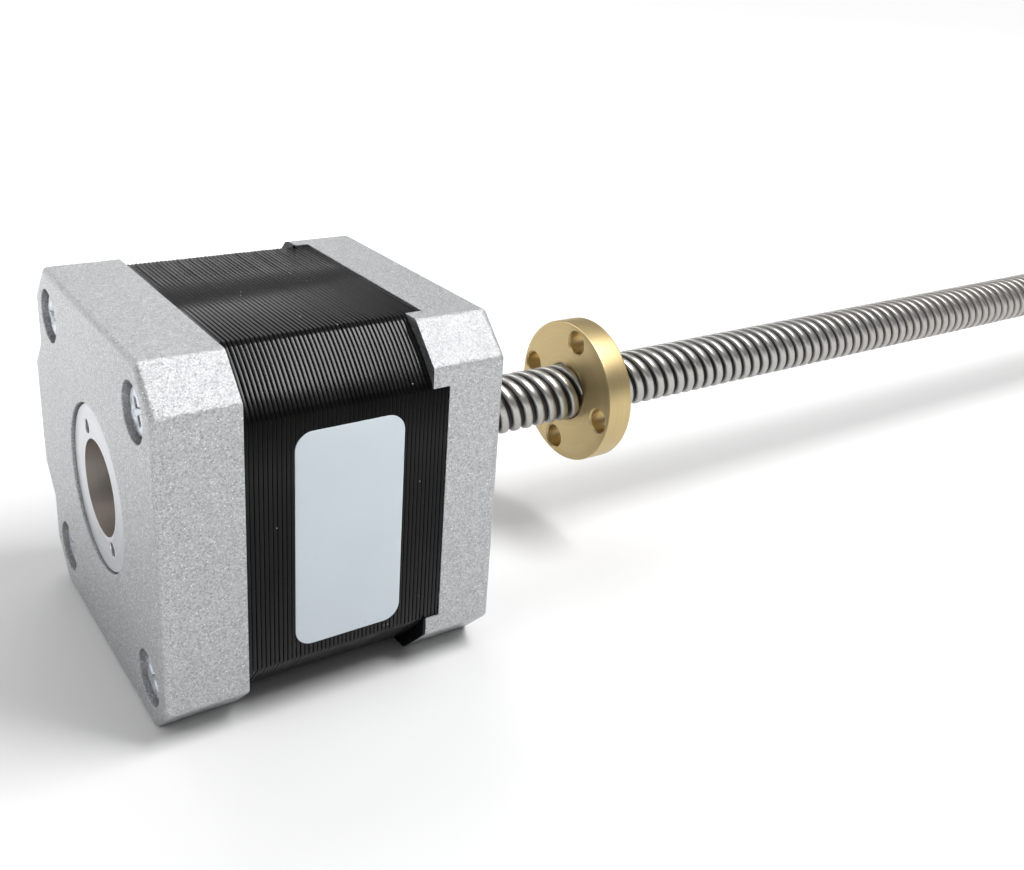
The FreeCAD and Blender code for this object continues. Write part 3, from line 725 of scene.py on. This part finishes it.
def rolled_thread(settings):
    """Bright rolled crests with painted shade in the grooves, paler towards the free end."""
    material, tree, sockets = new_finish("Rolled thread", Metallic=1.0)
    station, radius = from_axis(tree)
    hands = shared(tree, "Handling", Size=2.5 * MM, Dust=0.0)
    fine = noise(tree, 0.2 * MM, 3.0, 0.6)
    depth = maths(tree, "ADD", radius, spread(tree, hands["Smudge"], -0.04 * MM, 0.04 * MM))
    # Painted shade: 0 in the grooves, which take the dark groove colour, and 1 on the crests.
    on_crest = span(tree, depth, settings.root + 0.12 * MM, settings.crest - 0.08 * MM)
    worked = blend(tree, spread(tree, fine), tint(settings.steel, 0.86), tint(settings.steel, 1.08))
    far = span(tree, station, *GROOVE_SHADE_SPAN)
    # The painted groove shade grows paler towards the free end.
    groove_shade = blend(tree, far, tint(settings.groove_shade), tint(settings.groove_shade, 7.0))
    worked = blend(tree, far, worked, tint(settings.far_steel))
    rough = maths(tree, "ADD", span(tree, on_crest, 0.0, 1.0, 0.5, 0.36), spread(tree, fine, -0.03, 0.04))
    rough = maths(tree, "ADD", rough, span(tree, far, 0.0, 1.0, 0.0, 0.06))
    paint(tree, sockets, blend(tree, on_crest, groove_shade, worked), rough)
    bump(tree, sockets, fine, 0.01 * MM, 0.5)
    return material


def moulded(name, rgb, rough=0.42):
    """Moulded plastic with a faint grain."""
    material, tree, sockets = new_finish(name, Specular_IOR_Level=0.45)
    hands = shared(tree, "Handling", Size=4.0 * MM, Dust=0.003)
    base = blend(tree, spread(tree, hands["Smudge"]), tint(rgb, 0.93), tint(rgb, 1.04))
    base = blend(tree, hands["Speck"], base, tint(rgb, 0.5))
    paint(tree, sockets, base, spread(tree, hands["Smudge"], rough - 0.05, rough + 0.07))
    bump(tree, sockets, noise(tree, 0.2 * MM, 3.0), 0.01 * MM, 0.4)
    return material


def wound_copper():
    """Enamelled wire, wound in layers round each pole."""
    material, tree, sockets = new_finish("Wound copper", Metallic=0.85)
    wire = math.tau / (0.45 * MM)
    turns = maths(tree, "SINE", maths(tree, "MULTIPLY", from_axis(tree)[1], wire))
    base = blend(tree, span(tree, turns, -1.0, 0.6), tint((0.16, 0.045, 0.018)), tint((0.66, 0.27, 0.12)))
    paint(tree, sockets, base, spread(tree, noise(tree, 0.8 * MM), 0.22, 0.38))
    bump(tree, sockets, turns, 0.05 * MM)
    return material


def rotor_laminations():
    """Bare steel sheets, stacked along the axis."""
    material, tree, sockets = new_finish("Rotor laminations", Metallic=1.0)
    sheet = math.tau / (0.5 * MM)
    sheets = maths(tree, "SINE", maths(tree, "MULTIPLY", from_axis(tree)[0], sheet))
    base = blend(tree, span(tree, sheets, -1.0, 0.0), tint((0.12, 0.12, 0.125)), tint((0.47, 0.46, 0.45)))
    paint(tree, sockets, base, spread(tree, noise(tree, 0.6 * MM), 0.32, 0.48))
    bump(tree, sockets, sheets, 0.03 * MM)
    return material


# Operators


class LEADSCREW_OT_covers(bpy.types.Operator):
    """Die-cast rear and front covers with eased rims"""

    bl_idname = "leadscrew.covers"
    bl_label = "Cast covers"

    def execute(self, context):
        settings = context.scene.motor_covers
        finish = cast_aluminium(settings)
        half = MOUNTS["face_bolts"]["dims"]["spacing_x_mm"] / 2 * MM
        bolts = [(y, z) for y in (-half, half) for z in (-half, half)]

        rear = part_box("rear_cover")[0].x
        bm = copy_of("rear_cover")
        soften(bm, rim_of(bm, rear, settings.counterbore, bolts), settings.rim)
        soften(bm, rim_of(bm, rear, settings.recess), settings.recess_edge, 2)
        flat_faced(keep(bm, "rear_casting", "motor", finish, ("rear_cover",)))

        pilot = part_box("front_cover")[1].x
        bm = copy_of("front_cover")
        soften(bm, rim_of(bm, pilot, settings.pilot), settings.pilot_edge, 2)
        flat_faced(keep(bm, "front_casting", "motor", finish, ("front_cover",)))
        return {"FINISHED"}


class LEADSCREW_OT_stack(bpy.types.Operator):
    """Lacquered stack with a ridge for the edge of each lamination"""

    bl_idname = "leadscrew.stack"
    bl_label = "Lamination stack"

    def execute(self, context):
        settings = context.scene.motor_stack
        finish = black_lacquer(settings)
        low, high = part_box("stator_stack")
        corner = max(radius_of(v) for v in frame["nodes"]["stator_stack"].data.vertices)
        side = high.z
        inner = side - settings.sunk
        core = copy_of("stator_stack")
        outside = [
            v for v in core.verts
            if max(abs(v.co.y), abs(v.co.z)) > side - NEAR or radius_of(v) > corner - NEAR
        ]
        bmesh.ops.scale(core, verts=outside, vec=(1.0, inner / side, inner / side))
        keep(core, "stator_core", "motor", finish, ("stator_stack",))

        bm = bmesh.new()
        rim = self.square(bm, low.x, side, corner)
        thickness = (high.x - low.x) / settings.count
        valley = side + settings.proud - settings.ridge
        outline = []
        for number in range(settings.count):
            height = settings.ridge * (1.0 - settings.uneven * scatter(number))
            for along, rise in LAMINATION_OUTLINE:
                outline.append((low.x + (number + along) * thickness, valley + rise * height))
        outline += [(high.x, valley), (high.x, inner), (low.x, inner), (low.x, side)]
        at, reached = low.x, side
        for target, grown in outline:
            rim = carry(bm, rim, target - at, grown / reached)
            at, reached = target, grown
        keep(bm, "lamination_edges", "motor", finish, sharp=60.0)
        return {"FINISHED"}

    def square(self, bm, station, side, corner):
        """Draws the stack's outline at a station: a square whose corners lie on a circle about the axis."""
        opening = math.acos(side / corner)
        about = {"cent": ORIGIN, "axis": AXIS}
        start = bm.verts.new((station, *on_circle(corner, opening)))
        bmesh.ops.spin(bm, geom=[start], angle=math.pi / 2 - 2 * opening, steps=CORNER_STEPS, **about)
        arc = bm.verts[:] + bm.edges[:]
        bmesh.ops.spin(bm, geom=arc, angle=math.pi * 1.5, steps=3, use_duplicate=True, **about)
        ends = [v for v in bm.verts if len(v.link_edges) == 1]
        ends.sort(key=lambda v: math.atan2(v.co.z, v.co.y))
        for first, second in zip(ends[1::2], ends[2::2] + ends[:1]):
            bm.edges.new((first, second))
        return bm.edges[:]


class LEADSCREW_OT_label(bpy.types.Operator):
    """Bare sticker on the stack's near side"""

    bl_idname = "leadscrew.label"
    bl_label = "Label"

    def execute(self, context):
        settings = context.scene.motor_label
        low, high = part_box("label_plate")
        bm = bmesh.new()
        middle = Vector(((low.x + high.x) / 2, high.y, (low.z + high.z) / 2))
        turn = Matrix.Translation(middle) @ Matrix.Rotation(math.pi / 2, 4, "X")
        bmesh.ops.create_grid(bm, x_segments=1, y_segments=1, size=0.5, matrix=turn)
        wide_tall = (high.x - low.x, 1.0, high.z - low.z)
        bmesh.ops.scale(bm, verts=bm.verts, vec=wide_tall, space=Matrix.Translation(-middle))
        bmesh.ops.bevel(
            bm, geom=bm.verts[:], offset=settings.corner, offset_type="OFFSET", segments=CORNER_STEPS,
            profile=0.5, affect="VERTICES", material=-1,
        )
        made = bmesh.ops.extrude_face_region(bm, geom=bm.faces[:], use_keep_orig=True)["geom"]
        bmesh.ops.translate(bm, verts=verts_in(made), vec=(0.0, low.y - high.y, 0.0))
        rim = [e for e in bm.edges if all(abs(v.co.y - low.y) < NEAR for v in e.verts)]
        soften(bm, rim, settings.edge)
        keep(bm, "label_sticker", "motor", label_paper(settings), ("label_plate",))
        return {"FINISHED"}


class LEADSCREW_OT_rear_ring(bpy.types.Operator):
    """Turned ring behind the rear bearing with two spanner holes"""

    bl_idname = "leadscrew.rear_ring"
    bl_label = "Rear ring"

    def execute(self, context):
        settings = context.scene.motor_ring
        low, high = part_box("bearing_plug")
        rear, front, outside, edge = low.x, high.x, high.z - settings.gap, settings.chamfer
        bm = bmesh.new()
        lathe(bm, (
            *eased(rear, outside, edge, -edge), (front, outside), (front, settings.bore),
            *reversed(eased(rear, settings.bore, edge / 2, edge / 2)),
        ))
        hole, depth, ease = settings.spanner_hole, settings.spanner_depth, 0.1 * MM
        outline = ((rear, hole + ease), (rear + ease, hole), (rear + 0.85 * depth, hole), (rear + depth, 0.0))
        for half in (0.0, math.pi):
            centre = on_circle(settings.spanner_circle, settings.spanner_angle + half)
            lathe(bm, outline, HOLE_STEPS, centre)
        lid(bm, rear)
        finish = turned_ring(settings)
        ring = keep(bm, "rear_ring", "motor", finish, ("bearing_plug",), sharp=28.0)
        flat_faced(ring)
        return {"FINISHED"}


class LEADSCREW_OT_tie_screws(bpy.types.Operator):
    """Four pan-head tie screws with cross recesses"""

    bl_idname = "leadscrew.tie_screws"
    bl_label = "Tie screws"

    def execute(self, context):
        settings = context.scene.motor_ring
        low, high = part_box("tie_screws")
        seat, tip = low.x + settings.head_height, high.x
        top = low.x - settings.head_lift
        ease, point = 0.1 * MM, 0.4 * MM
        outline = (
            *[(top + down * MM, settings.head_flat + out * MM) for down, out in HEAD_CROWN],
            (top + 0.60 * MM, settings.head), (seat - ease, settings.head), (seat, settings.head - ease),
            (seat, settings.shank), (tip - point, settings.shank), (tip, settings.shank - point), (tip, 0.0),
        )
        circle = (high.z - settings.head) * math.sqrt(2.0)
        bm = bmesh.new()
        for number, turn in enumerate(RECESS_TURNS):
            centre = on_circle(circle, math.radians(45.0 + 90.0 * number))
            self.cross(bm, settings, Vector((top, *centre)), math.radians(turn))
            lathe(bm, outline, HOLE_STEPS, centre)
        corner_lids(bm, top)
        keep(bm, "tie_screws_pan_head", "motor", zinc_plate(settings), ("tie_screws",))
        return {"FINISHED"}

    def cross(self, bm, settings, middle, turn):
        """Sinks a tapered cross into the flat top of a head, about its middle."""
        before = set(bm.verts)
        half = settings.recess_width / 2
        facing = Matrix.Rotation(turn, 4, "X") @ Matrix.Rotation(math.pi / 2, 4, "Y")
        here = Matrix.Translation(middle) @ facing
        verts = bmesh.ops.create_grid(bm, x_segments=1, y_segments=1, size=half, matrix=here)["verts"]
        for side in {e for v in verts for e in v.link_edges}:
            out = (side.verts[0].co + side.verts[1].co) / 2 - middle
            arm = verts_in(bmesh.ops.extrude_edge_only(bm, edges=[side])["geom"])
            bmesh.ops.translate(bm, verts=arm, vec=out.normalized() * (settings.recess - half))
        faces = [f for f in bm.faces if not before.intersection(f.verts)]
        floor = verts_in(bmesh.ops.extrude_face_region(bm, geom=faces)["geom"])
        bmesh.ops.delete(bm, geom=faces, context="FACES")
        bmesh.ops.translate(bm, verts=floor, vec=(settings.recess_depth, 0.0, 0.0))
        narrower = (1.0, settings.recess_floor, settings.recess_floor)
        bmesh.ops.scale(bm, verts=floor, vec=narrower, space=Matrix.Translation(-middle))


class LEADSCREW_OT_lead_screw(bpy.types.Operator):
    """Four-start rolled lead screw with its neck and shaft"""

    bl_idname = "leadscrew.lead_screw"
    bl_label = "Lead screw"

    def execute(self, context):
        settings = context.scene.motor_screw
        low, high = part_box("lead_screw")
        start, end = settings.neck_end, high.x - NEAR
        shoulder = end - settings.chamfer
        bm = bmesh.new()
        thread(bm, settings, start, end)
        cut(bm, shoulder)
        first, slope = settings.neck + 0.06 * MM, 0.3
        for vert in bm.verts:
            cone = settings.crest - max(0.0, vert.co.x - shoulder)
            runout = first - slope * max(0.0, vert.co.x - start)
            set_radius(vert, min(max(radius_of(vert), runout), cone))
        lid(bm, end)
        seat, neck, shaft = settings.neck_start, settings.neck, settings.shaft
        ease, edge = 0.1 * MM, settings.shaft_edge
        lathe(bm, (
            (start, neck), (seat + ease, neck), (seat, neck - ease), (seat, shaft),
            (low.x + edge, shaft), (low.x, shaft - edge), (low.x, 0.0),
        ))
        lid(bm, start)
        keep(bm, "lead_screw_thread", "rotor", rolled_thread(settings), ("lead_screw",))
        return {"FINISHED"}


class LEADSCREW_OT_nut(bpy.types.Operator):
    """Flanged brass nut with its bolt holes and inner thread"""

    bl_idname = "leadscrew.nut"
    bl_label = "Brass nut"

    def execute(self, context):
        settings = context.scene.motor_screw
        low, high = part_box("brass_nut")
        bolts, pin = MOUNTS["nut_bolts"]["dims"], MOUNTS["nut_hub"]["dims"]
        flange, hub = high.z, pin["r_mm"] * MM
        circle, hole = bolts["pcd_mm"] / 2 * MM, bolts["hole_r_mm"] * MM
        rear, face, end, edge = low.x, high.x - pin["length_mm"] * MM, high.x, settings.edge
        mouth, sink = settings.mouth, settings.sink
        inside = settings.crest + settings.play + 0.08 * MM
        bm = bmesh.new()
        thread(bm, settings, rear + sink, end - sink, settings.play)
        for station, bottom in ((rear, rear + sink), (end, end - sink)):
            lathe(bm, ((station, mouth), (bottom, inside)))
            lid(bm, bottom)
        lathe(bm, (*eased(rear, flange, edge, -edge), *reversed(eased(face, flange, -edge, -edge))))
        lathe(bm, (*eased(face, hub, edge, edge), (end - edge, hub), (end, hub - edge)))
        ease = settings.bolt_edge
        outline = ((rear, hole + ease), (rear + ease, hole), (face - ease, hole), (face, hole + ease))
        for quarter in range(4):
            centre = on_circle(circle, settings.bolt_angle + quarter * math.pi / 2)
            lathe(bm, outline, HOLE_STEPS, centre)
        for station in (rear, face, end):
            lid(bm, station)
        finish = turned_metal("Turned brass", settings.brass, 0.41, 0.07 * MM, 0.003 * MM, 0.97)
        flat_faced(keep(bm, "flanged_nut", "nut", finish, ("brass_nut",), sharp=28.0))
        return {"FINISHED"}


class LEADSCREW_OT_socket(bpy.types.Operator):
    """Lead socket and its pins"""

    bl_idname = "leadscrew.socket"
    bl_label = "Lead socket"

    def execute(self, context):
        tinned = turned_metal("Tinned pins", (0.68, 0.67, 0.65), 0.28, 0.1 * MM, 0.004 * MM)
        dress("lead_socket", moulded("Socket nylon", (0.80, 0.79, 0.75)))
        dress("socket_pins", tinned)
        return {"FINISHED"}


class LEADSCREW_OT_inside(bpy.types.Operator):
    """Bearings, windings and rotor inside the motor"""

    bl_idname = "leadscrew.inside"
    bl_label = "Inside"

    def execute(self, context):
        nylon = moulded("Insulator nylon", (0.62, 0.60, 0.54), 0.5)
        copper = wound_copper()
        race = turned_metal("Bearing steel", (0.30, 0.28, 0.265), 0.3, 0.08 * MM, 0.004 * MM)
        sheets = rotor_laminations()
        spacer = turned_metal("Spacer steel", (0.46, 0.455, 0.45), 0.34, 0.08 * MM, 0.006 * MM)
        magnet = turned_metal("Sintered magnet", (0.17, 0.17, 0.18), 0.45, 0.12 * MM, 0.01 * MM)
        for side in ("rear", "front"):
            dress(f"{side}_insulator", nylon)
            dress(f"{side}_bearing_outer_ring", race)
            dress(f"{side}_bearing_inner_ring", race)
            dress(f"rotor_core_{side}", sheets)
            dress(f"{side}_spacer", spacer)
        for phase in ("a", "b"):
            dress(f"phase_{phase}_coils", copper)
        dress("rotor_magnet", magnet)
        return {"FINISHED"}


class LEADSCREW_OT_stage(bpy.types.Operator):
    """Floor, soft light and camera"""

    bl_idname = "leadscrew.stage"
    bl_label = "Stage"

    def execute(self, context):
        settings = context.scene.motor_stage
        scene = context.scene
        scene.view_settings.view_transform = "Standard"
        self.floor(scene, settings)
        self.world(scene, settings)
        for name, (size, at) in SOFTBOXES.items():
            self.softbox(scene, name, getattr(settings, name.lower()), size, at)
        lens = bpy.data.cameras.new("Camera")
        lens.sensor_width, lens.lens = 36.0, settings.lens
        lens.shift_x, lens.shift_y = settings.shift
        lens.clip_start, lens.clip_end = 0.001, 20.0
        camera = bpy.data.objects.new("Camera", lens)
        scene.collection.objects.link(camera)
        camera.location, camera.rotation_euler = settings.eye, settings.aim
        scene.camera = camera
        return {"FINISHED"}

    def seen(self, tree):
        """Light Path's mask of what the camera, mirrors and glass see."""
        path = node(tree, "ShaderNodeLightPath").outputs
        bright = maths(tree, "MAXIMUM", path["Is Camera Ray"], path["Is Glossy Ray"])
        return maths(tree, "MAXIMUM", bright, path["Is Transmission Ray"])

    def floor(self, scene, settings):
        bm = bmesh.new()
        here = Matrix.Translation((FLOOR_MIDDLE, 0.0, CAD_BOX[0].z))
        bmesh.ops.create_circle(bm, cap_ends=True, radius=FLOOR_RADIUS, segments=64, matrix=here)
        mesh = bpy.data.meshes.new("Floor")
        bm.to_mesh(mesh)
        bm.free()
        material, tree, sockets = new_finish("Pale floor", Roughness=0.9, Specular_IOR_Level=0.1)
        sockets["Base Color"].default_value = tint(settings.floor)
        glow = node(tree, "ShaderNodeEmission", {"Color": WHITE})
        away = span(tree, self.distance(tree), *GLOW_SPAN, 0.0, settings.sweep)
        feed(tree, glow.inputs["Strength"], maths(tree, "MULTIPLY", self.seen(tree), away))
        plain = tree.nodes["Principled BSDF"].outputs[0]
        both = node(tree, "ShaderNodeAddShader", {0: plain, 1: glow.outputs[0]})
        feed(tree, tree.nodes["Material Output"].inputs["Surface"], both.outputs[0])
        mesh.materials.append(material)
        floor = bpy.data.objects.new("Floor", mesh)
        scene.collection.objects.link(floor)

    def distance(self, tree):
        """Distance along the floor from the motor and its screw."""
        low, high = CAD_BOX[0].x, CAD_BOX[1].x
        parts = parts_of(tree, place(tree))
        beyond = maths(tree, "ABSOLUTE", maths(tree, "SUBTRACT", parts["X"], (low + high) / 2))
        along = maths(tree, "MAXIMUM", maths(tree, "SUBTRACT", beyond, (high - low) / 2), 0.0)
        return reach(tree, along, parts["Y"])

    def world(self, scene, settings):
        """White horizon, grey wall and pale ceiling."""
        world = bpy.data.worlds.new("Studio")
        world.use_nodes = True
        tree = world.node_tree
        background = tree.nodes["Background"].inputs
        background["Color"].default_value = WHITE
        rise = parts_of(tree, node(tree, "ShaderNodeTexCoord").outputs["Generated"])["Z"]
        wall = span(tree, rise, *HORIZON_SPAN, 1.0, settings.wall)
        ceiling = span(tree, rise, *CEILING_SPAN, 0.0, settings.ambient)
        feed(tree, background["Strength"], maths(tree, "MAXIMUM", wall, ceiling))
        scene.world = world

    def softbox(self, scene, name, power, size, at):
        """Hangs a lamp that faces the origin, with its second side along Y."""
        lamp = bpy.data.lights.new(name, "AREA")
        lamp.shape, lamp.energy = "RECTANGLE", power
        lamp.size, lamp.size_y = size
        made = bpy.data.objects.new(name, lamp)
        scene.collection.objects.link(made)
        away = Vector(at).normalized()
        across = Vector((0.0, 1.0, 0.0)).cross(away).normalized()
        made.location = at
        made.rotation_euler = Matrix((across, away.cross(across), away)).transposed().to_euler()


# Panel and registration

SETTINGS = {
    "motor_covers": CoverSettings, "motor_stack": StackSettings, "motor_label": LabelSettings,
    "motor_ring": RingSettings, "motor_screw": ScrewSettings, "motor_stage": StageSettings,
}
OPERATORS = (
    LEADSCREW_OT_covers, LEADSCREW_OT_stack, LEADSCREW_OT_label, LEADSCREW_OT_rear_ring,
    LEADSCREW_OT_tie_screws, LEADSCREW_OT_lead_screw, LEADSCREW_OT_nut, LEADSCREW_OT_socket,
    LEADSCREW_OT_inside, LEADSCREW_OT_stage,
)


class LEADSCREW_PT_motor(bpy.types.Panel):
    """Sizes, colours and builders of the motor"""

    bl_idname = "LEADSCREW_PT_motor"
    bl_label = "Lead screw motor"
    bl_space_type = "VIEW_3D"
    bl_region_type = "UI"
    bl_category = "Motor"

    def draw(self, context):
        for name, group in SETTINGS.items():
            box = self.layout.box()
            box.label(text=group.__doc__)
            for label in group.__annotations__:
                box.prop(getattr(context.scene, name), label)
        for operator in OPERATORS:
            self.layout.operator(operator.bl_idname)


CLASSES = (*SETTINGS.values(), *OPERATORS, LEADSCREW_PT_motor)


def register():
    for kind in CLASSES:
        bpy.utils.register_class(kind)
    for name, group in SETTINGS.items():
        setattr(bpy.types.Scene, name, PointerProperty(type=group))


def unregister():
    for name in SETTINGS:
        delattr(bpy.types.Scene, name)
    for kind in reversed(CLASSES):
        bpy.utils.unregister_class(kind)


def main():
    register()
    bpy.ops.leadscrew.covers()
    bpy.ops.leadscrew.stack()
    bpy.ops.leadscrew.label()
    bpy.ops.leadscrew.rear_ring()
    bpy.ops.leadscrew.tie_screws()
    bpy.ops.leadscrew.lead_screw()
    bpy.ops.leadscrew.nut()
    bpy.ops.leadscrew.socket()
    bpy.ops.leadscrew.inside()
    bpy.ops.leadscrew.stage()


if __name__ == "__main__":
    main()
